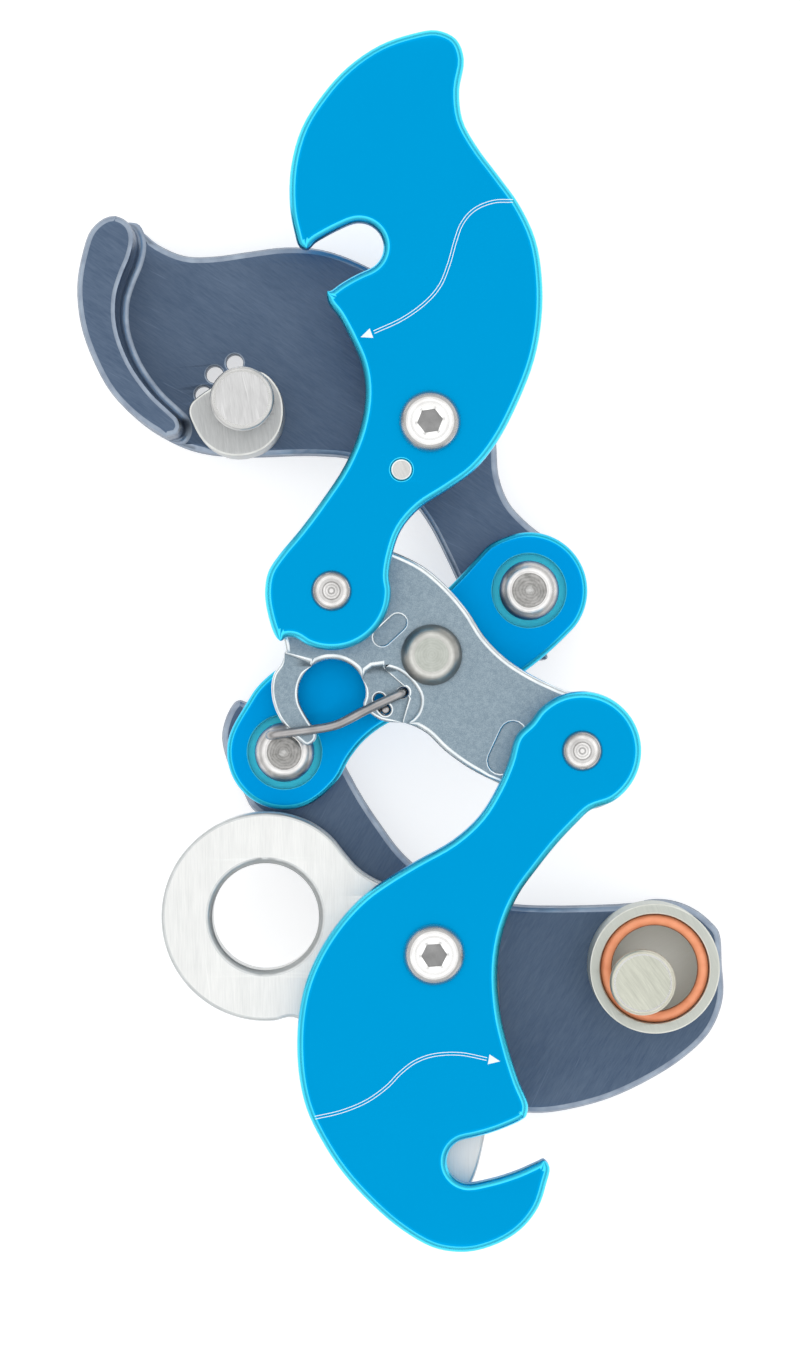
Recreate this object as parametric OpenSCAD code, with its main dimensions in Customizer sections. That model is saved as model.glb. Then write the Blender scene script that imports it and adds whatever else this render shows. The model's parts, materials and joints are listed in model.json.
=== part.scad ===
// Double-plate rope device for belay and ascent, lying open on its back.
// +Z is up through the plates, and the origin is the middle of the attachment eye.

/* [Linkage] */
// From the spine pivot to each upper link pin
upper_link = 17; // [16.8:0.1:17.2]
// From the spine pivot to each lower link pin
lower_link = 25.5; // [25.3:0.1:25.7]
// From the upper hinge to its link pins
upper_arm = 28; // [27.8:0.1:28.2]
// From the lower hinge to its link pins
lower_arm = 36; // [35.8:0.1:36.2]
// Half of the angle between the two links when the device lies open
half_open = 57; // [56:0.5:58]
// Spine pivot, across and along, from the middle of the attachment eye
spine_at = [24.2, 37.5];

/* [Thickness] */
// Thickness of the four plates
plate_t = 4.5; // [4:0.1:5]
// Room between the front and the rear plates, where the rope runs
gap = 14; // [13.8:0.1:14.2]
// Thickness of the rear link
rear_link_t = 4.5; // [4.2:0.1:4.6]
// Thickness of the front link
front_link_t = 6; // [5.8:0.1:6.2]
// Thickness of the attachment eye
eye_t = 10; // [9:0.5:10]

/* [Rope posts] */
// From the upper hinge to the middle of its rope post
upper_post_reach = 27; // [26.8:0.1:27.2]
// From the lower hinge to the middle of its rope post
lower_post_reach = 30; // [29.8:0.1:30.2]
// Radius of the upper post's neck
upper_neck_r = 3.1; // [2.8:0.1:3.1]
// Radius of the lower post's neck
lower_neck_r = 2.8; // [2.5:0.1:2.8]
// Outer radius of the lower bollard
bollard_r = 9.35; // [9:0.05:9.5]

/* [Eye and hook] */
// Radius of the attachment eye's throat
eye_r = 7.7; // [7:0.1:8]
// Outer radius of the attachment eye
eye_rim_r = 15; // [14:0.1:15]
// Radius of the tether hook's hole
hook_r = 4.85; // [4.6:0.05:4.9]
// Radius of the gate wire
wire_r = 0.68; // [0.6:0.02:0.7]

/* [Hidden] */
$fn = 64;

run = 0.1;                          // between faces that slide past each other
fit = 0.05;                         // radial room of a running fit
seat = 0.02;                        // radial room of a fixed fit
rear_face = -gap / 2;
front_face = gap / 2;
back = rear_face - plate_t;
top = front_face + plate_t;
rear_link_z = rear_face + run;
front_link_z = front_face - run - front_link_t;
link_top = front_face - run;
roller_h = gap - 2 * run;

// Corner angles and places of the linkage, with the spine pivot at [0, 0]
upper_swing = 2 * asin(upper_link * sin(half_open) / upper_arm);
lower_swing = 2 * asin(lower_link * sin(half_open) / lower_arm);
upper_hinge = [0, upper_link * cos(half_open) + upper_arm * cos(upper_swing / 2)];
lower_hinge = [0, -lower_link * cos(half_open) - lower_arm * cos(lower_swing / 2)];
upper_front_pin = upper_link * [-sin(half_open), cos(half_open)];
upper_rear_pin = upper_link * [sin(half_open), cos(half_open)];
lower_front_pin = lower_link * [sin(half_open), -cos(half_open)];
lower_rear_pin = lower_link * [-sin(half_open), -cos(half_open)];
upper_post_angle = 172.8;
lower_post_angle = -7.9;
upper_post = upper_hinge + upper_post_reach * way(upper_post_angle);
lower_post = lower_hinge + lower_post_reach * way(lower_post_angle);
bollard_shift = 2.6 * way(40);
lug_r = 8.5;

// Small parts
neck_room = 0.4;                    // between a post's neck and its notch
screw_head_r = 4.4;
screw_head_h = 2.3;
screw_shoulder_r = 3.25;
screw_thread_r = 2.4;
post_rear_head_h = 1.4;
pivot_head_r = 4.3;
pivot_journal_r = 3.2;
pivot_flat_r = 2.45;
counterbore_r = 5.3;
counterbore_floor = rear_link_z + 3.1;
pivot_top = front_link_z - 0.3;
spine_r = 3;
spine_head_h = 2.1;
bush_r = 3;
rivet_r = 2.2;
stop_r = 1.5;
stop_at = 8 * way(-121);
stop_depth = 3;
spool_r = 8;
hub_r = 9.3;
eye_chamfer = 0.9;
sleeve_r = 4.5;
dowel_r = 1.6;
dowel_collar_r = 2.6;
dowel_places = [[13, 0.5], [28.6, -20.5]];

// Index holes of the upper cam, which stand round its post
index_r = 6.3;
index_hole_r = 1.25;
index_first = 104;
index_step = 31;
index_count = 5;
ball_r = 1.3;
index_now = index_first + (index_count - 1) * index_step;

// Wire gate and its pockets
gate_pivot = [-4.1, -5.35];
gate_tail = [-6.7, -7.8];
gate_tail_angle = 180 + atan2(gate_pivot[1] - gate_tail[1], gate_pivot[0] - gate_tail[0]);
gate_travel = 28;
wire_room = 0.08;
pocket_depth = 1.75;
ledge_depth = 0.7;
hook_at = [-14.4, -5.4];

function way(a) = [cos(a), sin(a)];
function turned(p, a) = [p[0] * cos(a) - p[1] * sin(a), p[0] * sin(a) + p[1] * cos(a)];

// Points on an arc, both ends included
function arc(c, r, a, b, n = 12) = [for (i = [0 : n]) c + r * way(a + (b - a) * i / n)];

// One point of a smooth curve between knots b and c, whose pace follows the spacing of the knots
function bend(a, b, c, d, u) =
    let (
        t1 = sqrt(norm(b - a)),
        t2 = t1 + sqrt(norm(c - b)),
        t3 = t2 + sqrt(norm(d - c)),
        t = t1 + (t2 - t1) * u,
        ab = (a * (t1 - t) + b * t) / t1,
        bc = (b * (t2 - t) + c * (t - t1)) / (t2 - t1),
        cd = (c * (t3 - t) + d * (t - t2)) / (t3 - t2),
        abc = (ab * (t2 - t) + bc * t) / t2,
        bcd = (bc * (t3 - t) + cd * (t - t1)) / (t3 - t1)
    ) (abc * (t2 - t) + bcd * (t - t1)) / (t2 - t1);

// A closed smooth curve through its knots
function loop_through(k, n = 4) =
    let (m = len(k))
    [for (i = [0 : m - 1], j = [0 : n - 1])
        bend(k[(i + m - 1) % m], k[i], k[(i + 1) % m], k[(i + 2) % m], j / n)];

// An open smooth curve through its knots, in two or three dimensions
function line_through(k, n = 4) =
    let (m = len(k) - 1, all = concat([2 * k[0] - k[1]], k, [2 * k[m] - k[m - 1]]))
    concat([for (i = [0 : m - 1], j = [0 : n - 1])
        bend(all[i], all[i + 1], all[i + 2], all[i + 3], j / n)], [k[m]]);

// Right side of an upper plate, from the tip of its handle to the waist above the lug
upper_right = [[-2.2, 55.5], [1.4, 56], [4.2, 54.7], [5.3, 51.8], [4.6, 47.4], [5, 43.2],
    [6.9, 39.5], [10.1, 35.1], [13, 31], [15.3, 26], [16.2, 20.4], [16.1, 14.5],
    [15, 8.7], [12.7, 2.8], [9.6, -3], [6.3, -7], [2.4, -9.8], [-1.5, -12.3], [-4.2, -15.4],
    [-5.5, -18.9]];
// Left side of an upper plate, from the spur on its lug to the rope side
upper_left = [[-20.8, -30.7], [-21.6, -31.2], [-22.4, -30.4], [-23.3, -27.8], [-23.8, -24.4],
    [-23.3, -21.3], [-21.6, -18.7], [-18.8, -15.4], [-15.6, -11.2], [-12.2, -6.1],
    [-10, -0.8], [-9.2, 4.2], [-9.7, 8.2], [-11.2, 11.8], [-13, 15.2]];
// Outer edge of an upper plate's handle
upper_handle = [[-19.8, 31], [-19.6, 36.6], [-18, 42.2], [-15, 46.9], [-11.4, 50.8],
    [-6.8, 53.9]];

function upper_lug() =
    arc(upper_front_pin - upper_hinge, lug_r, 14, -128, 10);

// A notch that a post's neck enters sideways along its own circle round the hinge
function notch(reach, half, angle, mouth_a, mouth_b) =
    let (end = reach * way(angle), side = sign(mouth_a - angle))
    concat(
        arc([0, 0], reach - half * side, mouth_a, angle + 2 * side, 3),
        arc(end, half, side > 0 ? angle - 180 : angle, side > 0 ? angle : angle - 180, 10),
        arc([0, 0], reach + half * side, angle + 2 * side, mouth_b, 3));

function upper_front_outline() = loop_through(concat(
    upper_right, upper_lug(), upper_left,
    [[-14.5, 17.3], [-14.5, 18.7]],
    notch(upper_post_reach, upper_neck_r + neck_room, upper_post_angle - upper_swing, 127, 122),
    [[-17.4, 24.8], [-18.5, 25.3], [-19.2, 27.4]],
    upper_handle));

function upper_rear_outline() = loop_through(concat(
    upper_right, upper_lug(), upper_left,
    [[-14.9, 18.4], [-17.2, 22.6], [-19.1, 27.2]],
    upper_handle));

// Lower plate, from the waist at its lug round the rope side
lower_right = [[22.6, 20.5], [20.6, 18.7], [17.9, 15.9], [15.1, 12.5], [12.1, 8.4], [10.1, 3.8],
    [9.1, -1.8], [9.4, -8.2], [10.5, -13.3]];
// Lower plate, from its foot up the outer side to the lug
lower_left = [[9.8, -41], [5.9, -42.4], [2.8, -42.6], [-0.6, -41.9], [-4.9, -39.4], [-9.2, -35.7],
    [-13.4, -31], [-16.4, -26.3], [-18.4, -22], [-19.4, -17.6], [-19.7, -13], [-19.4, -8.4],
    [-18.4, -3.9], [-16.4, 0.6], [-13.4, 5], [-10, 8.5], [-6.6, 10.9], [-2.4, 13.4], [2.8, 16.3],
    [6.6, 19.7], [9.1, 23.6], [10.8, 27.4], [12, 31.2]];

function lower_lug() = arc(lower_front_pin - lower_hinge, lug_r, 150, -60, 14);

function lower_front_outline() = loop_through(concat(
    lower_lug(), lower_right,
    [[12, -18.2], [13.3, -21.6], [13, -23.2]],
    notch(lower_post_reach, lower_neck_r + neck_room, lower_post_angle - lower_swing, -62.5, -64),
    [[15.5, -29.5], [16.3, -30.6], [15.8, -33], [14.7, -36.2], [12.6, -39]],
    lower_left));

// The rear plate has a spur on its lug, and a round lobe behind the bollard in place of the notch
function lower_rear_outline() =
    let (
        pin = lower_front_pin - lower_hinge,
        lobe = turned(lower_post - lower_hinge + bollard_shift + [1.1, -1.2], -lower_swing)
    )
    loop_through(concat(
        arc(pin, lug_r, 150, 122, 3),
        [for (p = [[-0.8, 9.4], [2.4, 9.7], [4.8, 9.1], [5.3, 8.5], [5.3, 7.5]]) pin + p],
        arc(pin, lug_r, 45, -60, 8), lower_right,
        arc(lobe, 10.6, 35, -40, 7),
        lower_left));

rear_link_outline = loop_through(concat(
    arc(upper_rear_pin, lug_r, 112, -50, 10),
    [[15.8, -0.8], [11.3, -3.9], [5.6, -6], [-0.6, -7.6], [-6.5, -9.9], [-9.8, -12.3],
        [-12, -15], [-13.6, -17.9]],
    arc(lower_rear_pin, lug_r - 0.1, -50, -205, 10),
    [[-26.8, -6.6], [-25.4, -4.5], [-22.9, -2.2], [-17.5, 1.2], [-10.5, 4], [-3.5, 6.6],
        [1.2, 8.7], [4.2, 11.4], [6.6, 14], [8.6, 16]]));

front_link_outline = loop_through(concat(
    arc(upper_front_pin, lug_r - 0.1, 200, 62, 9),
    [[-5.4, 14.9], [-1.2, 12.8], [2.3, 9.8], [5.2, 6.4], [7.6, 2.6], [10.5, -0.4],
        [13.7, -2.6], [16.8, -4.2]],
    arc(lower_front_pin, lug_r + 0.1, 100, -112, 13),
    [[13.6, -20.6], [10.2, -18.9], [5.5, -16.5], [1.8, -13.8], [-0.9, -11.2], [-3.8, -9.8],
        [-6.3, -9.6], [-8.2, -8.9]],
    arc(hook_at, hook_r, -22, 212, 14),
    [[-17.6, -9.5], [-16.7, -11], [-16.8, -12.1], [-18, -12.9], [-19.3, -12], [-20.8, -10.5],
        [-22.1, -8.7], [-22.9, -6.5], [-23.1, -4.4], [-22.7, -2.5], [-21.6, -0.9],
        [-21.1, 0.7], [-21.5, 2.8], [-22.2, 4.6]]));

// A straight slot with round ends
function stadium(a, b, r) =
    let (t = atan2(b[1] - a[1], b[0] - a[0]))
    concat(arc(a, r, t + 90, t + 270, 8), arc(b, r, t - 90, t + 90, 8));

// Shallow marks milled in the front link, beside each lug
milled_marks = [stadium([-7.1, 2.6], [-4.8, 4.7], 1.2), stadium([9.8, -15.3], [11.6, -11.5], 1.8)];
milled_depth = 0.35;

// Areas of the front link, which is thinner where the gate wire lies
hook_arm_area = [[-26, 2.5], [-17.6, -1.1], [-16, -2.6], [-14.4, -5.4], [-14.4, -15], [-26, -15]];
pocket_area = [[-12, -4.4], [-9.9, -3.3], [-9.3, -2.4], [-8.5, -1.8], [-7.1, -1.6], [-5.9, -2.9],
    [-3.6, -4.9], [-3.4, -6.2], [-4.2, -9.2], [-4.4, -12], [-12, -12]];
ledge_area = line_through([[-6.7, -1.7], [-4.7, -2.4], [-2.9, -3.9], [-1.7, -6], [-2, -8],
    [-3.2, -9.4], [-4.4, -10.4], [-6, -6]]);

eye_outline = loop_through(concat(
    arc([0, 0], eye_rim_r, 285, 75, 20),
    [[7, 13.2], [9.6, 11.2], [11.6, 8.7], [13.4, 6.7], [15.6, 5.2], [18, 4.2]],
    arc(spine_at + lower_hinge, hub_r - 0.5, 108, 5, 7),
    [[33.6, -13], [33, -22], [31.4, -31.4], [29.9, -37.4], [28.6, -39.6], [26.6, -39.3],
        [24.2, -36], [20.4, -30], [15.6, -23.6], [10.4, -18.4]]));

cam_outline = loop_through([[-4.4, 2], [-6.2, 0.8], [-7.5, -0.4], [-7.8, -1.7], [-6.9, -4],
    [-5.3, -6.3], [-2.6, -7.8], [0.4, -7.9], [3.2, -6.8], [5.2, -4.4], [5.8, -1.3], [5.1, 1.7],
    [3, 4], [-0.2, 4.4], [-2.6, 3.3]]);

// Raised rim along the upper rear plate's handle, from the hinge, before the plate is swung
rim_inner = line_through([[4.1, 56], [4.7, 54.1], [4.9, 52.6], [4.5, 51.2], [3.1, 49.9], [0.6, 49.1],
    [-2.2, 48.8], [-5.4, 48.1], [-9.1, 46], [-12.7, 42], [-15.1, 37.2], [-16.1, 33.6], [-16.6, 32],
    [-17.5, 31.2], [-18.7, 31.2], [-19.6, 32.1], [-21, 34]]);

// A disc with a domed rim and a flat middle, base at z 0
module dome(r, h, flat_r, edge = 0.4) {
    rotate_extrude()
        polygon(concat([[0, 0], [r, 0]],
            [for (a = [0 : 15 : 90]) [flat_r + (r - flat_r) * cos(a), edge + (h - edge) * sin(a)]],
            [[0, h]]));
}

module rod(r, low, high) {
    translate([0, 0, low])
        cylinder(h = high - low, r = r);
}

module slab(points, low, high) {
    translate([0, 0, low])
        linear_extrude(high - low)
            polygon(points);
}

module at(p) {
    translate([spine_at[0] + p[0], spine_at[1] + p[1], 0])
        children();
}

// A slot that follows an arc
module arc_slot(reach, half, a, b, low, high) {
    slab(concat(arc([0, 0], reach - half, a, b), arc([0, 0], reach + half, b, a)), low, high);
    for (end = [a, b])
        translate(reach * way(end))
            rod(half, low, high);
}

// Button head with a hexagon socket, seen from its under side at z 0
module socket_head() {
    difference() {
        dome(screw_head_r, screw_head_h, 1.9);
        translate([0, 0, screw_head_h - 1.4])
            cylinder(h = 2, r = 1.85, $fn = 6);
    }
}

module front_screw() {
    translate([0, 0, top + fit])
        socket_head();
    rod(screw_shoulder_r, link_top + fit, top + fit);
    rod(screw_thread_r, 0.5, link_top + fit);
}

module rear_screw() {
    translate([0, 0, back])
        mirror([0, 0, 1])
            socket_head();
    rod(screw_thread_r, back, -0.5);
}

// Flanged post that a rear link turns on, riveted through a rear plate
module pivot_post() {
    translate([0, 0, counterbore_floor + fit])
        dome(pivot_head_r, pivot_top - counterbore_floor - fit, pivot_flat_r, 1.9);
    rod(pivot_journal_r, rear_face, counterbore_floor + fit);
    rod(bush_r, back, rear_face);
    translate([0, 0, back])
        mirror([0, 0, 1])
            dome(4, post_rear_head_h, 2);
}

// Mushroom post that a front plate hooks behind
module rope_post(neck_r, head_r, head_h) {
    rod(neck_r, back, top + 0.2);
    translate([0, 0, top + 0.2])
        dome(head_r, head_h, head_r - 0.45, head_h - 0.5);
    translate([0, 0, back])
        mirror([0, 0, 1])
            dome(neck_r + 1.4, post_rear_head_h, neck_r - 0.6);
}

module link_rivet() {
    rod(rivet_r, front_face + seat, top);
    difference() {
        translate([0, 0, top])
            dome(2.9, 1.3, 1.3);
        translate([0, 0, top + 0.9])
            cylinder(h = 1, r1 = 0.4, r2 = 1.1);
    }
}

module lower_rear_plate() {
    color("slategray")
        difference() {
            at(lower_hinge)
                rotate(lower_swing)
                    slab(lower_rear_outline(), back, rear_face);
            at(lower_hinge)
                rod(screw_thread_r + seat, back - 1, rear_face + 1);
            at(lower_post)
                rod(lower_neck_r + seat, back - 1, rear_face + 1);
            at(lower_rear_pin)
                rod(bush_r + seat, back - 1, rear_face + 1);
            for (p = dowel_places)
                translate(p)
                    rod(dowel_r + seat, back - 1, rear_face + 1);
        }
}

// The attachment eye's throat, chamfered at both faces
module eye_throat() {
    half = eye_t / 2;
    flare = eye_r + eye_chamfer + 1;
    rotate_extrude()
        polygon([[0, -half - 1], [flare, -half - 1], [eye_r, eye_chamfer - half],
            [eye_r, half - eye_chamfer], [flare, half + 1], [0, half + 1]]);
}

module eye_block() {
    color("gainsboro")
        difference() {
            union() {
                slab(eye_outline, -eye_t / 2, eye_t / 2);
                at(lower_hinge)
                    rod(hub_r, rear_face, link_top);
            }
            eye_throat();
            at(lower_hinge)
                rod(sleeve_r + seat, -gap, gap);
            for (p = dowel_places)
                translate(p)
                    rod(dowel_r + seat, -gap, 2);
        }
}

module eye_block_dowels() {
    color("silver")
        for (p = dowel_places)
            translate(p) {
                rod(dowel_r, back, 1.8);
                rod(dowel_collar_r, rear_face, -eye_t / 2);
            }
}

module lower_hinge_sleeve() {
    color("darkgray")
        at(lower_hinge)
            difference() {
                rod(sleeve_r, rear_face, link_top + fit);
                rod(screw_thread_r + seat, -gap, gap);
            }
}

module lower_front_screw() {
    color("silver")
        at(lower_hinge)
            front_screw();
}

module lower_rear_screw() {
    color("silver")
        at(lower_hinge)
            rear_screw();
}

module lower_rope_post() {
    color("gainsboro")
        at(lower_post)
            rope_post(lower_neck_r, 4.68, 2.6);
}

module lower_pivot_post() {
    color("silver")
        at(lower_rear_pin)
            pivot_post();
}

// An off-centre cup that turns on the lower post
module lower_bollard() {
    color("lightgray")
        difference() {
            at(lower_post + bollard_shift)
                rod(bollard_r, rear_link_z, rear_link_z + roller_h);
            at(lower_post + bollard_shift)
                rod(bollard_r - 1.5, rear_face + 3.5, gap);
            at(lower_post)
                rod(lower_neck_r + fit, -gap, gap);
        }
}

module bollard_o_ring() {
    section_r = 0.84;
    color("darkorange")
        at(lower_post + bollard_shift)
            translate([0, 0, link_top - 1.5])
                rotate_extrude()
                    translate([bollard_r - 1.52 - section_r, 0])
                        circle(section_r);
}

module rear_link() {
    color("steelblue")
        difference() {
            at([0, 0])
                slab(rear_link_outline, rear_link_z, rear_link_z + rear_link_t);
            for (p = [upper_rear_pin, lower_rear_pin])
                at(p) {
                    rod(pivot_journal_r + fit, -gap, gap);
                    rod(counterbore_r, counterbore_floor, gap);
                }
            at([0, 0])
                rod(spine_r + seat, -gap, gap);
        }
}

module spine_spacer() {
    color("darkgray")
        at([0, 0])
            difference() {
                rod(5.5, rear_link_z + rear_link_t, front_link_z - fit);
                rod(spine_r + seat, -gap, gap);
            }
}

module spine_rivet() {
    color("silver")
        at([0, 0]) {
            rod(spine_r, rear_link_z - post_rear_head_h, link_top + fit);
            translate([0, 0, link_top + fit])
                dome(4.37, spine_head_h, pivot_flat_r);
        }
}

module spine_collar() {
    color("silver")
        at([0, 0])
            difference() {
                translate([0, 0, rear_link_z])
                    mirror([0, 0, 1])
                        dome(4.6, post_rear_head_h, 3.4);
                rod(spine_r + seat, -gap, gap);
            }
}

module upper_rear_plate() {
    color("slategray")
        difference() {
            at(upper_hinge)
                rotate(upper_swing)
                    union() {
                        slab(upper_rear_outline(), back, rear_face);
                        intersection() {
                            slab(upper_rear_outline(), rear_face - 1, link_top - run);
                            slab(concat(rim_inner, [[-32, 36], [-20, 60], [-4, 66]]),
                                rear_face - 2, front_face);
                        }
                    }
            at(upper_hinge)
                rod(screw_thread_r + seat, back - 1, rear_face + 1);
            at(upper_post)
                rod(upper_neck_r + seat, back - 1, rear_face + 1);
            at(upper_rear_pin)
                rod(bush_r + seat, back - 1, rear_face + 1);
            for (i = [0 : index_count - 1])
                at(upper_post + index_r * way(index_first + i * index_step))
                    rod(index_hole_r, back - 1, rear_face + 1);
        }
}

// Rope spool of the upper hinge, grooved on top for the stop pin
module upper_spool() {
    color("gainsboro")
        at(upper_hinge)
            difference() {
                rod(spool_r, rear_face, link_top + fit);
                rod(screw_thread_r + seat, -gap, gap);
                arc_slot(norm(stop_at), stop_r + 0.3, -121, upper_swing - 121,
                    front_face - stop_depth - 0.3, gap);
            }
}

module upper_front_screw() {
    color("silver")
        at(upper_hinge)
            front_screw();
}

module upper_rear_screw() {
    color("silver")
        at(upper_hinge)
            rear_screw();
}

module upper_rope_post() {
    color("gainsboro")
        at(upper_post)
            rope_post(upper_neck_r, 4.57, 2.6);
}

module upper_pivot_post() {
    color("silver")
        at(upper_rear_pin)
            pivot_post();
}

// Rope cam that turns on the upper post and clicks into the index holes
module upper_cam() {
    color("gainsboro")
        difference() {
            at(upper_post)
                slab(cam_outline, rear_link_z, rear_link_z + roller_h);
            at(upper_post)
                rod(upper_neck_r + fit, -gap, gap);
            at(upper_post + index_r * way(index_now))
                rod(ball_r + fit, rear_face - 1, rear_face + 8);
        }
}

module detent_ball() {
    color("silver")
        at(upper_post + index_r * way(index_now))
            translate([0, 0, rear_link_z + ball_r])
                sphere(ball_r);
}

module detent_spring() {
    color("dimgray")
        at(upper_post + index_r * way(index_now))
            difference() {
                rod(ball_r - 0.1, rear_link_z + 2 * ball_r, rear_face + 8);
                rod(ball_r - 0.5, rear_link_z + ball_r, rear_face + 9);
            }
}

module gate_pocket(low, high) {
    slab(hook_arm_area, low, high);
    slab(pocket_area, low, high);
}

module front_link() {
    color("lightsteelblue")
        difference() {
            at([0, 0])
                slab(front_link_outline, front_link_z, link_top);
            at([0, 0]) {
                gate_pocket(link_top - pocket_depth, gap);
                gate_pocket(-gap, front_link_z + pocket_depth);
                slab(ledge_area, link_top - ledge_depth, gap);
                for (mark = milled_marks)
                    slab(mark, link_top - milled_depth, gap);
                rod(spine_r + fit, -gap, gap);
            }
            at(gate_pivot)
                rod(wire_r + wire_room, -gap, gap);
            at(gate_pivot)
                arc_slot(norm(gate_tail - gate_pivot), wire_r + wire_room, gate_tail_angle,
                    gate_tail_angle - gate_travel, -gap, gap);
            for (p = [upper_front_pin, lower_front_pin])
                at(p)
                    rod(bush_r + seat, -gap, gap);
        }
}

module link_bushes() {
    color("silver")
        for (p = [upper_front_pin, lower_front_pin])
            at(p)
                difference() {
                    rod(bush_r, front_link_z, link_top);
                    rod(rivet_r, front_link_z - 1, gap);
                }
}

// The bent wire: one leg on each face of the link, joined by the end loop outside the hook's nose
leg = [[-9.2, -7.7], [-13.3, -9.8], [-15.4, -10.35], [-18.4, -10.75], [-21.6, -11.15]];
wire_high = link_top - pocket_depth + wire_r + 0.12;
wire_low = front_link_z + pocket_depth - wire_r - 0.12;
loop_end = [-23.35, -11.4];

function lifted(points, z) = [for (p = points) [p[0], p[1], z]];
function backwards(points) = [for (i = [len(points) - 1 : -1 : 0]) points[i]];

wire_route = line_through(concat(
    [[gate_tail[0], gate_tail[1], wire_high - wire_r + 0.2],
        [gate_tail[0], gate_tail[1], wire_low + 1], [gate_tail[0] - 0.5, gate_tail[1] - 0.1, wire_low]],
    lifted(leg, wire_low),
    [[loop_end[0] + 0.3, loop_end[1] + 0.05, wire_low + 0.5],
        [loop_end[0], loop_end[1], (wire_low + wire_high) / 2],
        [loop_end[0] + 0.3, loop_end[1] + 0.05, wire_high - 0.5]],
    backwards(lifted(leg, wire_high)),
    [[gate_pivot[0] - 0.7, gate_pivot[1] - 0.35, wire_high],
        [gate_pivot[0] - 0.05, gate_pivot[1], wire_high - 0.6],
        [gate_pivot[0], gate_pivot[1], wire_low + 1.2]]), 3);

// A round tube along a route that never runs straight across the gate
module tube(route, r, across, sides = 12) {
    last = len(route) - 1;
    rings = [for (i = [0 : last])
        let (
            step = route[min(i + 1, last)] - route[max(i - 1, 0)],
            t = step / norm(step),
            flat = across - (across * t) * t,
            u = flat / norm(flat),
            v = cross(t, u)
        )
        for (k = [0 : sides - 1]) route[i] + r * (u * cos(360 * k / sides) + v * sin(360 * k / sides))];
    walls = [for (i = [0 : last - 1], k = [0 : sides - 1])
        let (a = i * sides + k, b = i * sides + (k + 1) % sides)
        [a, a + sides, b + sides, b]];
    ends = [[for (k = [0 : sides - 1]) k], [for (k = [sides - 1 : -1 : 0]) last * sides + k]];
    polyhedron(rings, concat(walls, ends));
}

module wire_gate() {
    color("gray")
        at([0, 0])
            tube(wire_route, wire_r, [-sin(17), cos(17), 0]);
}

module upper_front_plate() {
    color("deepskyblue")
        at(upper_hinge)
            difference() {
                slab(upper_front_outline(), front_face, top);
                rod(screw_shoulder_r + fit, 0, top + 1);
                translate(stop_at)
                    rod(stop_r + seat, 0, top + 1);
                translate(upper_front_pin - upper_hinge)
                    rod(rivet_r + seat, 0, top + 1);
            }
}

module upper_link_rivet() {
    color("silver")
        at(upper_front_pin)
            link_rivet();
}

module stop_pin() {
    color("silver")
        at(upper_hinge + stop_at)
            rod(stop_r, front_face - stop_depth, top + 0.1);
}

module lower_front_plate() {
    color("deepskyblue")
        at(lower_hinge)
            difference() {
                slab(lower_front_outline(), front_face, top);
                rod(screw_shoulder_r + fit, 0, top + 1);
                translate(lower_front_pin - lower_hinge)
                    rod(rivet_r + seat, 0, top + 1);
            }
}

module lower_link_rivet() {
    color("silver")
        at(lower_front_pin)
            link_rivet();
}

lower_rear_plate();
eye_block();
eye_block_dowels();
lower_hinge_sleeve();
lower_front_screw();
lower_rear_screw();
lower_rope_post();
lower_pivot_post();
lower_bollard();
bollard_o_ring();
rear_link();
spine_spacer();
spine_rivet();
spine_collar();
upper_rear_plate();
upper_spool();
upper_front_screw();
upper_rear_screw();
upper_rope_post();
upper_pivot_post();
upper_cam();
detent_ball();
detent_spring();
front_link();
link_bushes();
wire_gate();
upper_front_plate();
upper_link_rivet();
stop_pin();
lower_front_plate();
lower_link_rivet();
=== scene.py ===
import json
import math
import bpy
import bmesh
from mathutils import Matrix, Vector
from mathutils.kdtree import KDTree


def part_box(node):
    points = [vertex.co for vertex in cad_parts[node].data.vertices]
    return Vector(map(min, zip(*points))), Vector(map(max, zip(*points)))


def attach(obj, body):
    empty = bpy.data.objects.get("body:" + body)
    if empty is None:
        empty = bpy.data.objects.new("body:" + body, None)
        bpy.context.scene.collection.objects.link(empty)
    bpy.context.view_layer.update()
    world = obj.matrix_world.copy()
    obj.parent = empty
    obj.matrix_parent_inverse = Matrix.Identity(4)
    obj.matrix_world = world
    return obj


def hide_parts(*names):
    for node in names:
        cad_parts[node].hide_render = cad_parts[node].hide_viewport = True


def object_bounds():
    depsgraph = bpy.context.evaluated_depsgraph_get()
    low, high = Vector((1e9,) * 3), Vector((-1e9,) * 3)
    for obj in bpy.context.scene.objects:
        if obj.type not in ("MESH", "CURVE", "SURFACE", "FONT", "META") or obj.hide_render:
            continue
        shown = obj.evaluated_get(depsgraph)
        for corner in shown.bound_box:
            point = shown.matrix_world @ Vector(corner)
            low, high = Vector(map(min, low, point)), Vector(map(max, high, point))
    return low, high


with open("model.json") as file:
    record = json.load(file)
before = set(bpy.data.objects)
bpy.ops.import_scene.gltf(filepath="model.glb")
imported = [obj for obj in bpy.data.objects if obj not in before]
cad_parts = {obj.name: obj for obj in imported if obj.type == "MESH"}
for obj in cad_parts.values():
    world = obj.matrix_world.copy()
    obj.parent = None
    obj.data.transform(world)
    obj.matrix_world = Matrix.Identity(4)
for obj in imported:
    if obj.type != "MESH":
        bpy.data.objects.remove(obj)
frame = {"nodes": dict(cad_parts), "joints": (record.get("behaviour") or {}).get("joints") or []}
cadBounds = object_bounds()

mm = 0.001

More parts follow.
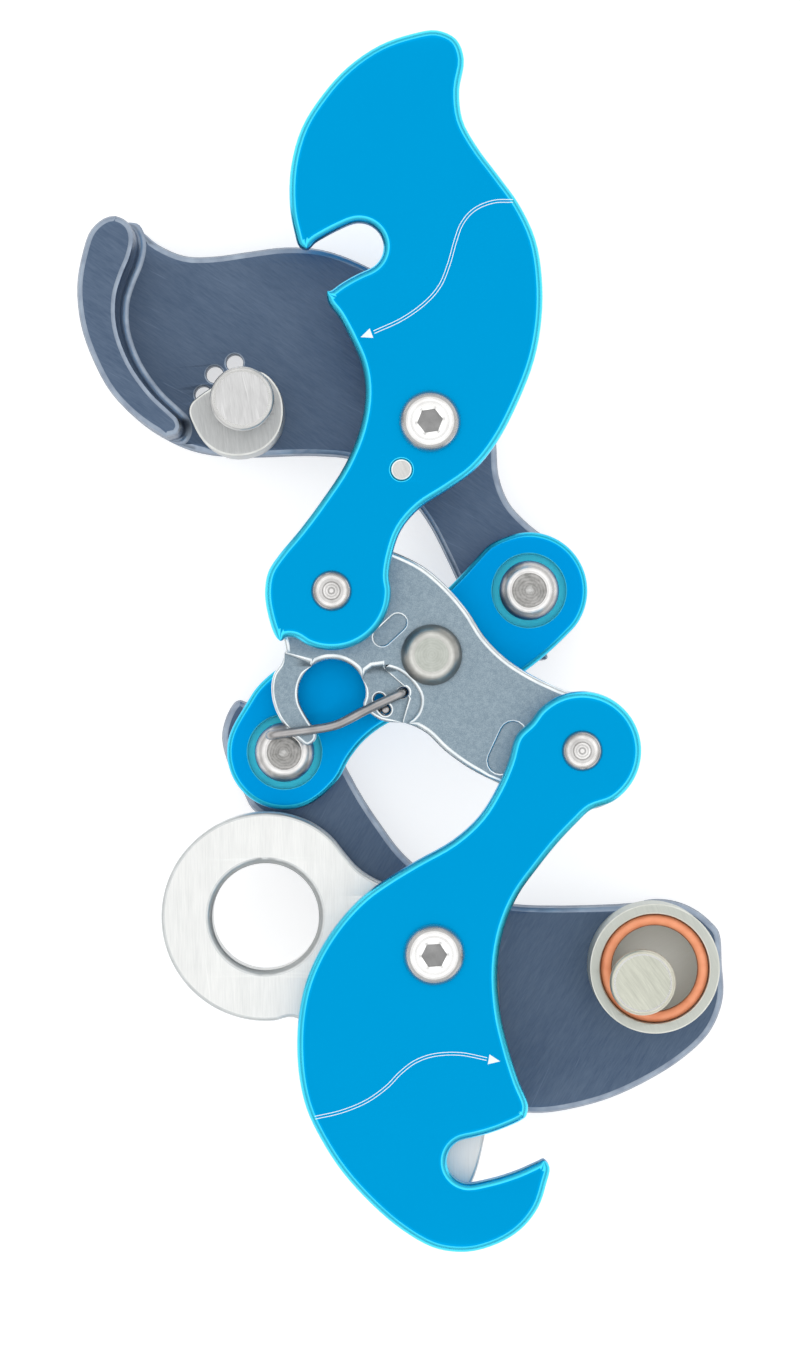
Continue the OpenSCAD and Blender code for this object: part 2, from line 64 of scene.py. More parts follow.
# Where the hinges stand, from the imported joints, in millimetres
hingeAt = {joint["name"]: Vector(joint["pos_m"]) / mm for joint in frame["joints"]}
spine = hingeAt["scissor_swing"]
upperHinge = hingeAt["upper_front_plate_swing"]
lowerHinge = hingeAt["lower_front_plate_swing"]
upperPost = hingeAt["upper_cam_turn"]
lowerPost = hingeAt["lower_bollard_turn"]
upperPin = hingeAt["upper_arm_swing"]
lowerPin = hingeAt["rear_link_swing"]


def lowAndHigh(node):
    low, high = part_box(node)
    return low / mm, high / mm


def middleOf(node):
    low, high = lowAndHigh(node)
    return (low + high) / 2


# Camera
view = {"over": 900, "lens": 167.75, "tilt": -0.45, "aim": (19.64, 34.51), "front": 11.5}

camera = bpy.data.cameras.new("viewCamera")
camera.sensor_fit = "VERTICAL"
camera.sensor_height = 36
camera.lens = view["lens"]
camera.clip_end = 20
cameraObject = bpy.data.objects.new("viewCamera", camera)
cameraObject.location = (view["aim"][0] * mm, view["aim"][1] * mm, (view["front"] + view["over"]) * mm)
cameraObject.rotation_euler = (0, 0, math.radians(view["tilt"]))
bpy.context.scene.collection.objects.link(cameraObject)
bpy.context.scene.camera = cameraObject
print("camera set")


# Shader helpers
class Shade:  # a socket that can stand in a sum
    def __init__(self, finish, socket):
        self.finish = finish
        self.socket = socket

    def maths(self, operation, first, second):
        return self.finish.node("Math", {"operation": operation}, {0: first, 1: second})

    def __add__(self, other):
        return self.maths("ADD", self, other)

    __radd__ = __add__

    def __sub__(self, other):
        return self.maths("SUBTRACT", self, other)

    def __rsub__(self, other):
        return self.maths("SUBTRACT", other, self)

    def __mul__(self, other):
        return self.maths("MULTIPLY", self, other)

    __rmul__ = __mul__


class Finish:  # the nodes of one material, or of the world
    def __init__(self, name, world=None):
        self.material = world or bpy.data.materials.new(name)
        self.material.use_nodes = True
        self.tree = self.material.node_tree
        self.tree.nodes.clear()
        self.place = self.node("TexCoord", pick="Generated" if world else "Object")

    def node(self, kind, settings={}, inputs={}, pick=0):
        made = self.tree.nodes.new("ShaderNode" + kind)
        for key, value in settings.items():
            if key == "stops":
                ramp = made.color_ramp
                while len(ramp.elements) < len(value):
                    ramp.elements.new(0.5)
                for element, (position, level) in zip(ramp.elements, value):
                    element.position = position
                    element.color = (level, level, level, 1)
            else:
                setattr(made, key, value)
        for key, value in inputs.items():
            if isinstance(value, Shade):
                self.tree.links.new(value.socket, made.inputs[key])
            else:
                made.inputs[key].default_value = value
        return Shade(self, made.outputs[pick]) if len(made.outputs) else None

    def ramp(self, value, low, high, toLow=0, toHigh=1):
        return self.node("MapRange", {}, {"Value": value, "From Min": low, "From Max": high,
                                          "To Min": toLow, "To Max": toHigh})

    def mix(self, share, first, second):
        return self.node("Mix", {"data_type": "RGBA"}, {0: share, 6: first, 7: second}, pick=2)

    def noise(self, place, scale, detail=2, rough=0.5):
        return self.node("TexNoise", {}, {"Vector": place, "Scale": scale, "Detail": detail,
                                          "Roughness": rough})

    def stretched(self, angle, across, along):
        return self.node("Mapping", {"vector_type": "TEXTURE"},
                         {"Vector": self.place, "Rotation": (0, 0, math.radians(angle)),
                          "Scale": (along, across, across)})

    def radius(self, centre):  # distance in metres from an upright axis
        local = self.node("VectorMath", {"operation": "MULTIPLY_ADD"},
                          {0: self.place, 1: (1, 1, 0), 2: (-centre[0] * mm, -centre[1] * mm, 0)})
        return self.node("VectorMath", {"operation": "LENGTH"}, {0: local}, pick="Value")

    def bump(self, height, distance, strength=1.0):
        return self.node("Bump", {}, {"Height": height, "Distance": distance, "Strength": strength})

    def close(self, **inputs):
        body = self.node("BsdfPrincipled", {}, {key.replace("_", " "): value
                                                for key, value in inputs.items()})
        self.node("OutputMaterial", {}, {"Surface": body})
        return self.material


def tint(red, green, blue):
    return (red, green, blue, 1)


# Finishes
def anodised(name, face, deep, rough, metal=1.0):
    f = Finish(name)
    cloud = f.noise(f.place, 90, 3)
    grain = f.noise(f.place, 9000, 2, 0.6)
    color = f.mix(f.ramp(cloud, 0.3, 0.7), face, deep)
    roughness = f.ramp(cloud * 0.5 + grain * 0.5, 0.3, 0.7, rough - 0.04, rough + 0.05)
    return f.close(Base_Color=color, Metallic=metal, Roughness=roughness,
                   Normal=f.bump(grain, 0.000006, 0.6))


def brushed(name, face, streak, angle, rough, metal=0.9, length=22):
    f = Finish(name)
    fine = f.noise(f.stretched(angle, 1, length), 5200, 3, 0.65)
    broad = f.noise(f.stretched(angle, 1, length * 0.6), 900, 3, 0.6)
    cloud = f.noise(f.place, 120, 2)
    scratch = f.noise(f.stretched(angle + 7, 1, length * 2.5), 2600, 1)
    lines = fine * 0.65 + broad * 0.35
    mark = f.ramp(scratch, 0.7, 0.78)
    scratched = tint(*[min(1, 1.4 * level + 0.04) for level in streak[:3]])
    color = f.mix(f.ramp(lines * 0.8 + cloud * 0.2, 0.36, 0.64), face, streak)
    color = f.mix(mark * 0.3, color, scratched)
    return f.close(Base_Color=color, Metallic=metal,
                   Roughness=f.ramp(lines, 0.3, 0.7, rough - 0.08, rough + 0.1),
                   Normal=f.bump(lines + mark * 0.4, 0.000006, 0.7))


def blasted(name, face, light):
    f = Finish(name)
    speck = f.noise(f.place, 7500, 2, 0.7)
    blot = f.noise(f.place, 1500, 3, 0.6)
    color = f.mix(f.ramp(speck * 0.7 + blot * 0.3, 0.4, 0.62), face, light)
    return f.close(Base_Color=color, Metallic=0.85,
                   Roughness=f.ramp(speck, 0.3, 0.7, 0.42, 0.55),
                   Normal=f.bump(speck, 0.00002, 0.9))


def polished(name, face, shadow, rough, centre=None, edge=None, reach=(0, 1)):
    f = Finish(name)
    smear = f.noise(f.place, 420, 3, 0.55)
    grain = f.noise(f.place, 6000, 2)
    color = f.mix(f.ramp(smear, 0.35, 0.7), face, shadow)
    # painted shade: with a centre, the colour turns to the edge tone between the two reach radii
    if centre:
        away = f.radius(centre) + (smear - 0.5) * 0.0008
        color = f.mix(f.ramp(away, reach[0] * mm, reach[1] * mm), color, edge)
    return f.close(Base_Color=color, Metallic=1.0,
                   Roughness=f.ramp(smear, 0.3, 0.7, rough, rough + 0.1),
                   Normal=f.bump(grain, 0.000004, 0.4))


def turned(name, face, dark, centre, pitch, rough, star=0.0):
    f = Finish(name)
    wobble = f.noise(f.place, 380, 3, 0.6)
    smear = f.noise(f.place, 1100, 4, 0.65)
    away = f.radius(centre) + (wobble - 0.5) * 0.0011
    rings = f.node("Math", {"operation": "SINE"}, {0: away * (2 * math.pi / pitch)}) * 0.5 + 0.5
    worn = rings * 0.14 + smear * 0.86
    color = f.mix(f.ramp(worn, 0.3, 0.7), dark, face)
    if star:
        dot = f.ramp(f.radius(centre) + (smear - 0.5) * 0.0022, star * 0.2 * mm, star * mm, 0.6, 0)
        color = f.mix(dot, color, tint(0.8, 0.8, 0.79))
    return f.close(Base_Color=color, Metallic=0.95,
                   Roughness=f.ramp(smear, 0.3, 0.7, rough, rough + 0.12),
                   Normal=f.bump(worn, 0.00003, 0.8))


def rubber(name, face, deep, tubeEdgeShade, centre, ring, thick):  # painted shade darkens both edges of a ring's tube
    f = Finish(name)
    cloud = f.noise(f.place, 600, 3)
    color = f.mix(f.ramp(cloud, 0.35, 0.65), face, deep)
    aside = f.node("Math", {"operation": "ABSOLUTE"}, {0: f.radius(centre) - ring * mm})
    color = f.mix(f.ramp(aside, 0.74 * thick * mm, 1.02 * thick * mm), color, tubeEdgeShade)
    return f.close(Base_Color=color, Metallic=0.0,
                   Roughness=f.ramp(cloud, 0.3, 0.7, 0.42, 0.55),
                   Normal=f.bump(f.noise(f.place, 5000, 2), 0.00001, 0.5))


def printed(name):
    f = Finish(name)
    worn = f.noise(f.place, 2500, 3)
    return f.close(Base_Color=f.mix(f.ramp(worn, 0.3, 0.7), tint(0.9, 0.95, 0.98),
                                    tint(0.72, 0.86, 0.94)),
                   Metallic=0.0, Roughness=f.ramp(worn, 0.3, 0.7, 0.5, 0.6))


# painted highlight: each edge finish is a lighter copy of its face's blue, for the rounded rims
blueFace = anodised("blueAnodised", tint(0.0, 0.325, 0.67), tint(0.0, 0.312, 0.645), 0.34)
blueEdgeHighlight = anodised("blueAnodisedEdgeHighlight", tint(0.06, 0.68, 0.93), tint(0.045, 0.62, 0.88), 0.28)
linkFace = anodised("blueLink", tint(0.0, 0.3, 0.69), tint(0.0, 0.285, 0.66), 0.36)
linkEdgeHighlight = anodised("blueLinkEdgeHighlight", tint(0.035, 0.6, 0.84), tint(0.025, 0.52, 0.78), 0.28)
# painted highlight: the pin counterbores and their lips are lighter copies of the link's blue
linkBoreHighlight = anodised("blueLinkBoreHighlight", tint(0.05, 0.74, 0.95), tint(0.04, 0.66, 0.88), 0.45, 0.4)
linkLipHighlight = anodised("blueLinkLipHighlight", tint(0.07, 0.68, 0.9), tint(0.06, 0.6, 0.84), 0.4, 0.2)
slateUpper = brushed("slateUpper", tint(0.07, 0.108, 0.175), tint(0.115, 0.16, 0.235), -35, 0.4, length=9)
slateLower = brushed("slateLower", tint(0.065, 0.1, 0.165), tint(0.105, 0.15, 0.22), 58, 0.4, length=9)
# painted highlight: the slate plates' rounded rims are a lighter copy of their face
slateEdgeHighlight = polished("slateEdgeHighlight", tint(0.29, 0.345, 0.42), tint(0.22, 0.265, 0.34), 0.3)
linkGrey = blasted("blastedLink", tint(0.2, 0.27, 0.325), tint(0.33, 0.41, 0.465))
# painted highlight: the front link's chamfers are a near-white copy of its grey
linkGreyEdgeHighlight = polished("blastedLinkEdgeHighlight", tint(0.78, 0.83, 0.85), tint(0.6, 0.66, 0.69), 0.22)
eyeMetal = brushed("brushedEye", tint(0.72, 0.73, 0.72), tint(0.84, 0.845, 0.83), 90, 0.42, 0.8)
# painted shade: the eye block's and spool's rims are a darker copy of their face
eyeEdgeShade = polished("brushedEyeEdgeShade", tint(0.62, 0.64, 0.64), tint(0.55, 0.57, 0.57), 0.35)
# painted highlight: the cam's rims are a lighter copy of its face
camMetal = brushed("brushedCam", tint(0.4, 0.41, 0.41), tint(0.54, 0.55, 0.55), 97, 0.42, 0.8, 12)
camEdgeHighlight = polished("brushedCamEdgeHighlight", tint(0.66, 0.67, 0.65), tint(0.55, 0.56, 0.54), 0.3)
# painted highlight: the bollard's rims are a lighter copy of its face
rollerMetal = brushed("brushedRoller", tint(0.48, 0.5, 0.46), tint(0.56, 0.58, 0.53), 112, 0.45, 0.75)
rollerEdgeHighlight = polished("brushedRollerEdgeHighlight", tint(0.66, 0.67, 0.62), tint(0.56, 0.57, 0.52), 0.32)
# painted light: the cup's inside is lightened to make up for its shade
rollerInsideLightened = brushed("rollerInsideLightened", tint(0.93, 0.935, 0.88), tint(0.97, 0.975, 0.93), 30, 0.6, 0.5)
upperFace = brushed("upperPostFace", tint(0.52, 0.52, 0.52), tint(0.68, 0.68, 0.68), 97, 0.38, 0.85, 12)
lowerFace = brushed("lowerPostFace", tint(0.48, 0.49, 0.42), tint(0.64, 0.65, 0.56), -55, 0.38, 0.85, 12)
upperRound = polished("upperPostRound", tint(0.62, 0.62, 0.61), tint(0.5, 0.5, 0.49), 0.3)
lowerRound = polished("lowerPostRound", tint(0.64, 0.63, 0.54), tint(0.54, 0.53, 0.44), 0.3)
postMetal = brushed("brushedPost", tint(0.54, 0.54, 0.53), tint(0.68, 0.68, 0.66), -65, 0.38, 0.9)
steel = polished("polishedSteel", tint(0.78, 0.77, 0.76), tint(0.6, 0.59, 0.58), 0.2)
satinSteel = polished("satinSteel", tint(0.66, 0.65, 0.62), tint(0.55, 0.54, 0.52), 0.34)
# painted highlight: near-white steel for the thin chamfer ring of the rope post heads
brightSteelHighlight = polished("brightSteelHighlight", tint(0.9, 0.9, 0.88), tint(0.8, 0.8, 0.78), 0.22)
# painted shade: the hex socket's inside is a darker copy of the steel
shadedSocketSteel = polished("shadedSocketSteel", tint(0.3, 0.3, 0.3), tint(0.22, 0.22, 0.22), 0.3)
wireSteel = polished("drawnWire", tint(0.42, 0.41, 0.41), tint(0.33, 0.32, 0.32), 0.3)
ringLow, ringHigh = lowAndHigh("bollard_o_ring")
ringThick = (ringHigh.z - ringLow.z) / 2
# the third colour is painted shade at both edges of the ring's tube
orange = rubber("orangeRubber", tint(0.95, 0.37, 0.19), tint(0.88, 0.31, 0.15), tint(0.22, 0.07, 0.03),
                middleOf("bollard_o_ring"), (ringHigh.x - ringLow.x) / 2 - ringThick, ringThick)
white = printed("whitePrint")
print("finishes made")


# Mesh helpers, which work in millimetres
weld = 0.0005
sameLevel = 0.02
wallLean = 0.3  # most upright part of a wall's normal
floorLean = 0.95  # least upright part of a flat's normal
levelFlat = 0.9999


def fromNode(name):
    bm = bmesh.new()
    bm.from_mesh(frame["nodes"][name].data)
    bm.transform(Matrix.Scale(1 / mm, 4))
    bmesh.ops.remove_doubles(bm, verts=bm.verts, dist=0.001)
    bmesh.ops.dissolve_limit(bm, angle_limit=math.radians(0.5), verts=bm.verts, edges=bm.edges)
    return bm


def toPiece(bm, name, body, replaced, materials, sharpAngle=32, weighted=True):
    mesh = bpy.data.meshes.new(name)
    plain = [face.tag for face in bm.faces]
    bm.transform(Matrix.Scale(mm, 4))
    bm.to_mesh(mesh)
    bm.free()
    for material in materials:
        mesh.materials.append(material)
    mesh.set_sharp_from_angle(angle=math.radians(sharpAngle))
    for polygon, tagged in zip(mesh.polygons, plain):
        polygon.use_smooth = not tagged
    piece = bpy.data.objects.new(name, mesh)
    bpy.context.scene.collection.objects.link(piece)
    if weighted:
        evener = piece.modifiers.new("flatFaces", "WEIGHTED_NORMAL")
        evener.keep_sharp = True
        evener.weight = 100
    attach(piece, body)
    if replaced:
        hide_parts(replaced)
    return piece


def wallsAndFloor(edge):
    return sorted(edge.link_faces, key=lambda face: abs(face.normal.z))


def rimEdges(bm, level, convex):
    found = []
    for edge in bm.edges:
        if len(edge.link_faces) != 2 or edge.is_convex != convex:
            continue
        if max(abs(vert.co.z - level) for vert in edge.verts) > sameLevel:
            continue
        wall, flat = wallsAndFloor(edge)
        if abs(wall.normal.z) < wallLean and abs(flat.normal.z) > floorLean:
            found.append(edge)
    return found


def rimCorner(vert, walls, chosen, level):  # which way, and how far, a rim's corner draws in
    keenest = 0.35
    first = walls[0]
    if len(walls) > 1:
        share = max(keenest, 1 + first.dot(walls[1]))
        return (first + walls[1]) / share
    for edge in vert.link_edges:  # where a rim ends, its corner slides along the wall it meets
        far = edge.other_vert(vert)
        if edge in chosen or abs(far.co.z - level) > sameLevel or len(edge.link_faces) != 2:
            continue
        wall, flat = wallsAndFloor(edge)
        along = (far.co - vert.co).xy.normalized()
        if abs(wall.normal.z) < wallLean and abs(along.dot(first)) > 0.6:
            return along / along.dot(first)
    return first


def endEasing(chosen, smallShare, taper=1.6, smallHole=12):  # narrower at open ends and small holes
    least = 0.02
    links = {}
    for edge in chosen:
        for vert in edge.verts:
            links.setdefault(vert, []).append(edge)
    easing = {}
    for start in links:
        if start in easing:
            continue
        chain, wave = {start}, [start]
        while wave:
            vert = wave.pop()
            for edge in links[vert]:
                far = edge.other_vert(vert)
                if far not in chain:
                    chain.add(far)
                    wave.append(far)
        ends = [vert.co for vert in chain if len(links[vert]) == 1]
        size = max(max(vert.co[axis] for vert in chain) - min(vert.co[axis] for vert in chain)
                   for axis in (0, 1))
        share = smallShare if size < smallHole and not ends else 1
        for vert in chain:
            gap = min([(vert.co - end).length for end in ends], default=taper)
            easing[vert] = share * max(least, min(1, gap / taper))
    return easing


def roundRims(bm, level, width, segments, convex=True, smallShare=0.28):  # a fine bevel, then widened
    start = 0.01
    around = 12 * start
    wallShare = 0.8  # of a wall's height
    crowding = 0.46  # of the room that a corner's neighbours leave
    bm.normal_update()
    chosen = set(rimEdges(bm, level, convex))
    side = 1 if convex else -1
    walls, tall = {}, {}
    for edge in chosen:
        wall, flat = wallsAndFloor(edge)
        reach = max(abs(vert.co.z - level) for vert in wall.verts)
        for vert in edge.verts:
            walls.setdefault(vert, []).append(-side * wall.normal.xy.normalized())
            tall[vert] = min(tall.get(vert, reach), reach)
    corners = [(vert.co.copy(), rimCorner(vert, found, chosen, level), tall[vert])
               for vert, found in walls.items()]
    near = KDTree(len(corners))
    for index, corner in enumerate(corners):
        near.insert(corner[0], index)
    near.balance()
    easing = endEasing(chosen, smallShare)
    shares = [easing[vert] for vert in walls]
    widths = []
    for (place, mitre, deep), share in zip(corners, shares):
        room = min(width * share, wallShare * deep)
        inward = mitre.normalized()
        for other, index, gap in near.find_range(place, 2.2 * width):
            ahead = (other - place).xy.dot(inward)
            if ahead > 1e-4:
                room = min(room, crowding * (other - place).length_squared / ahead)
        widths.append(room)
    bmesh.ops.bevel(bm, geom=list(chosen), affect="EDGES", offset=start, offset_type="OFFSET",
                    segments=segments, profile=0.5, material=-1, clamp_overlap=False)
    for vert in bm.verts:
        place, index, gap = near.find(vert.co)
        if gap > around:
            continue
        sunk = min(1, abs(vert.co.z - level) / start)
        drawn = 1 - math.sqrt(max(0, 1 - (1 - sunk) ** 2))
        up = math.copysign(sunk * widths[index], vert.co.z - level)
        move = corners[index][1] * (drawn * widths[index])
        vert.co = (place.x + move.x, place.y + move.y, place.z + up)
    bmesh.ops.remove_doubles(bm, verts=bm.verts, dist=weld)


def refill(bm, level, up):  # a flat's faces are made again between its rims
    flats = [face for face in bm.faces if face.normal.z * up > 0.9
             and all(abs(vert.co.z - level) < 0.0015 for vert in face.verts)]
    inside = set(flats)
    border = [edge for face in flats for edge in face.edges
              if sum(other in inside for other in edge.link_faces) == 1]
    inner = set(edge for face in flats for edge in face.edges) - set(border)
    bmesh.ops.delete(bm, geom=flats, context="FACES_ONLY")
    bmesh.ops.delete(bm, geom=list(inner), context="EDGES")
    bmesh.ops.triangle_fill(bm, edges=list(set(border)), normal=(0, 0, up))


def refillAll(bm):
    bm.normal_update()
    found = {(round(face.calc_center_median().z, 2), math.copysign(1, face.normal.z))
             for face in bm.faces if abs(face.normal.z) > levelFlat and face.calc_area() > 0.05}
    for level, up in sorted(found):
        refill(bm, level, up)


def markInside(bm, centres, reach, low, high, number):
    for face in bm.faces:
        middle = face.calc_center_median()
        away = min((middle.xy - centre.xy).length for centre in centres)
        if low < middle.z < high and away < reach:
            face.material_index = number


def markSlopes(bm, steep=0.12, flat=0.985):  # rounded rims take the piece's second finish, painted highlight on most pieces and painted shade on the eye block and spool
    bm.normal_update()
    for face in bm.faces:
        if steep < abs(face.normal.z) < flat:
            face.material_index = 1


def lathe(profile, centre):
    bm = bmesh.new()
    verts = [bm.verts.new((r, 0, z)) for r, z in profile]
    edges = [bm.edges.new(pair) for pair in zip(verts, verts[1:])]
    bmesh.ops.spin(bm, geom=verts + edges, cent=(0, 0, 0), axis=(0, 0, 1),
                   angle=2 * math.pi, steps=96, use_merge=True)
    bmesh.ops.remove_doubles(bm, verts=bm.verts, dist=weld)
    bmesh.ops.translate(bm, vec=(centre[0], centre[1], 0), verts=bm.verts)
    bmesh.ops.recalc_face_normals(bm, faces=bm.faces)
    return bm


def curveOf(low, high, steps=7, start=0):  # part of a quarter round in a profile, from low to high
    (r1, z1), (r2, z2) = low, high
    begin = math.radians(start)
    angles = [begin + (math.pi / 2 - begin) * i / steps for i in range(steps + 1)]
    return [(r2 + (r1 - r2) * math.cos(angle) / math.cos(begin),
             z1 + (z2 - z1) * (math.sin(angle) - math.sin(begin)) / (1 - math.sin(begin)))
            for angle in angles]


# Plates, links and the eye
frontLow, frontHigh = lowAndHigh("upper_front_plate")
rearLow, rearHigh = lowAndHigh("lower_rear_plate")
linkLow, linkHigh = lowAndHigh("front_link")
backLow, backHigh = lowAndHigh("rear_link")
eyeLow, eyeHigh = lowAndHigh("eye_block")
handleHigh = lowAndHigh("upper_rear_plate")[1]
eyeFace = 5.0  # of the ring, which is thinner than the hub
rollerFace = 6.9

# Rims are pairs of level and width, and an inside zone is centres, reach, lowest, highest, finish
flatPieces = {
    "upper_front_plate": {"name": "upperFrontPlate", "body": "upper_front_plate",
                          "rims": [(frontHigh.z, 1.25), (frontLow.z, 0.7)], "segments": 5,
                          "slot": "blue_anodised", "finish": [blueFace, blueEdgeHighlight]},
    "lower_front_plate": {"name": "lowerFrontPlate", "body": "lower_front_plate",
                          "rims": [(frontHigh.z, 1.25), (frontLow.z, 0.7)], "segments": 5,
                          "slot": "blue_anodised", "finish": [blueFace, blueEdgeHighlight]},
    "rear_link": {"name": "rearLink", "body": "rear_link",
                  "rims": [(backHigh.z, 1.0), (backLow.z, 0.7)], "segments": 5,
                  "slot": "blue_anodised", "finish": [linkFace, linkEdgeHighlight, linkBoreHighlight, linkLipHighlight],
                  # the pin counterbores take lighter blues, painted highlight
                  "inside": [([upperPin, lowerPin], 5.8, backLow.z + 0.1, backHigh.z - 0.01, 3),
                             ([upperPin, lowerPin], 5.28, backLow.z + 0.1, backHigh.z - 0.1, 2)]},
    "lower_rear_plate": {"name": "lowerRearPlate", "body": "lower_arm",
                         "rims": [(rearHigh.z, 0.9), (rearLow.z, 0.9)], "segments": 2,
                         "slot": "dark_anodised", "finish": [slateLower, slateEdgeHighlight]},
    "upper_rear_plate": {"name": "upperRearPlate", "body": "upper_arm",
                         "rims": [(handleHigh.z, 0.8), (rearHigh.z, 0.9), (rearLow.z, 0.9)],
                         "segments": 2, "hollow": (rearHigh.z, 1.2),
                         "slot": "dark_anodised", "finish": [slateUpper, slateEdgeHighlight]},
    "front_link": {"name": "frontLink", "body": "front_link",
                   "rims": [(linkHigh.z, 0.8), (linkLow.z, 0.6), (linkHigh.z - 1.75, 0.45),
                            (linkHigh.z - 0.7, 0.4), (linkLow.z + 1.75, 0.3)], "segments": 4,
                   "small": 0.8,
                   "slot": "blasted_aluminium", "finish": [linkGrey, linkGreyEdgeHighlight]},
    "eye_block": {"name": "eyeBlock", "body": "lower_arm",
                  "rims": [(eyeFace, 0.5), (-eyeFace, 0.5), (eyeHigh.z, 0.4), (eyeLow.z, 0.2)],
                  "segments": 3, "slot": "brushed_aluminium", "finish": [eyeMetal, eyeEdgeShade]},
    "upper_cam": {"name": "upperCam", "body": "upper_cam", "rims": [(rollerFace, 0.35), (-rollerFace, 0.2)],
                  "segments": 2, "slot": "brushed_aluminium", "finish": [camMetal, camEdgeHighlight]},
    "lower_bollard": {"name": "lowerBollard", "body": "lower_bollard",
                      "rims": [(rollerFace, 0.2), (-rollerFace, 0.3)], "segments": 2,
                      "slot": "brushed_aluminium", "finish": [rollerMetal, rollerEdgeHighlight, rollerInsideLightened],
                      # the cup's inside takes the lightened finish, painted light
                      "inside": [([middleOf("lower_bollard")], 7.6, -6, 6.5, 2)]},
    "upper_spool": {"name": "upperSpool", "body": "upper_arm", "rims": [(6.95, 0.4), (-7, 0.2)],
                    "segments": 3, "slot": "brushed_aluminium", "finish": [eyeMetal, eyeEdgeShade]},
}
for node, made in flatPieces.items():
    bm = fromNode(node)
    for level, width in made["rims"]:
        roundRims(bm, level, width, made["segments"], smallShare=made.get("small", 0.28))
    if "hollow" in made:
        roundRims(bm, *made["hollow"], segments=4, convex=False)
    refillAll(bm)
    markSlopes(bm)
    for zone in made.get("inside", []):
        markInside(bm, *zone)
    for face in bm.faces:  # a tagged face is shaded flat, as floors of bores and cups are
        height = face.calc_center_median().z
        face.tag = (abs(face.normal.z) > levelFlat
                    and min(abs(height - level) for level, width in made["rims"]) > 0.01)
    toPiece(bm, made["name"], made["body"], node, made["finish"])
    print("made", made["name"])

# Plain turned parts
plainPieces = {
    "eye_block_dowels": ("eyeBlockDowels", "lower_arm", steel),
    "lower_hinge_sleeve": ("lowerHingeSleeve", "lower_arm", steel),
    "spine_spacer": ("spineSpacer", "rear_link", satinSteel),
    "spine_collar": ("spineCollar", "rear_link", satinSteel),
    "link_bushes": ("linkBushes", "front_link", satinSteel),
    "detent_ball": ("detentBall", "upper_cam", steel),
}
for node, (name, body, finish) in plainPieces.items():
    toPiece(fromNode(node), name, body, node, [finish])
print("made the plain turned parts")


# Hinge screws
def hexRing(verts, across, turn):  # draws a ring round the origin out to a hexagon
    for vert in verts:
        offset = vert.co.xy
        angle = math.degrees(math.atan2(offset.y, offset.x)) - turn
        reach = across / 2 / math.cos(math.radians((angle + 60) % 60 - 30))
        vert.co.xy = offset.normalized() * reach


def pushLoop(bm, loop, drop, shape=None):  # extrudes a loop straight down and reshapes it
    grown = bmesh.ops.extrude_edge_only(bm, edges=loop)["geom"]
    verts = [item for item in grown if isinstance(item, bmesh.types.BMVert)]
    for vert in verts:
        vert.co.z -= drop
    if shape:
        shape(verts)
    return [item for item in grown if isinstance(item, bmesh.types.BMEdge)], verts


screw = {"head": 4.4, "tall": 2.3, "mouth": 2.15, "across": 3.2, "deep": 1.25, "lip": 0.2, "tip": 0.25}
outerFace = 11.5  # of every plate, from the middle of the gap
shoulder = [(2.4, 0.5), (3.25, 6.95)]
screws = {
    "upper_front_screw": {"name": "upperFrontScrew", "body": "upper_arm", "centre": upperHinge,
                          "face": outerFace + 0.05, "shank": shoulder, "turn": 8, "behind": False},
    "lower_front_screw": {"name": "lowerFrontScrew", "body": "lower_arm", "centre": lowerHinge,
                          "face": outerFace + 0.05, "shank": shoulder, "turn": 3, "behind": False},
    "upper_rear_screw": {"name": "upperRearScrew", "body": "upper_arm", "centre": upperHinge,
                         "face": outerFace, "shank": shoulder[:1], "turn": 20, "behind": True},
    "lower_rear_screw": {"name": "lowerRearScrew", "body": "lower_arm", "centre": lowerHinge,
                         "face": outerFace, "shank": shoulder[:1], "turn": 50, "behind": True},
}


def screwProfile(face, shank):  # from the shank's end to the socket's mouth
    chamfer = 0.3
    thin, low = shank[0]
    points = [(0, low), (thin - chamfer, low), (thin, low + chamfer)]
    for inner, outer in zip(shank, shank[1:]):
        points += [(inner[0], outer[1]), outer]
    points += [(shank[-1][0], face), (screw["head"] - 0.15, face), (screw["head"], face + 0.15)]
    points += curveOf((screw["head"], face + 0.45), (screw["mouth"] + 0.35, face + screw["tall"]),
                      steps=9)
    return points + [(screw["mouth"], face + screw["tall"] - 0.06)]


for node, made in screws.items():
    bm = lathe(screwProfile(made["face"], made["shank"]), (0, 0))
    loop = [edge for edge in bm.edges if len(edge.link_faces) == 1]
    loop, verts = pushLoop(bm, loop, screw["lip"],
                           lambda found: hexRing(found, screw["across"], made["turn"]))
    outside = set(bm.faces)
    loop, verts = pushLoop(bm, loop, screw["deep"])
    loop, verts = pushLoop(bm, loop, screw["tip"])
    bmesh.ops.scale(bm, vec=(0.02, 0.02, 1), verts=verts)
    bmesh.ops.contextual_create(bm, geom=loop)
    # the socket's inside takes the darker steel, painted shade
    for face in bm.faces:
        if face not in outside:
            face.material_index = 1
    if made["behind"]:
        bmesh.ops.scale(bm, vec=(1, -1, -1), verts=bm.verts)
    bmesh.ops.translate(bm, vec=(made["centre"].x, made["centre"].y, 0), verts=bm.verts)
    bmesh.ops.recalc_face_normals(bm, faces=bm.faces)
    # painted shade: each head darkens from 2.6 mm out to its 4.5 mm rim
    head = polished(made["name"] + "Head", tint(0.92, 0.92, 0.91), tint(0.78, 0.77, 0.76), 0.2,
                    made["centre"], tint(0.5, 0.49, 0.48), (2.6, 4.5))
    toPiece(bm, made["name"], made["body"], node, [head, shadedSocketSteel], sharpAngle=40)
print("made the hinge screws")


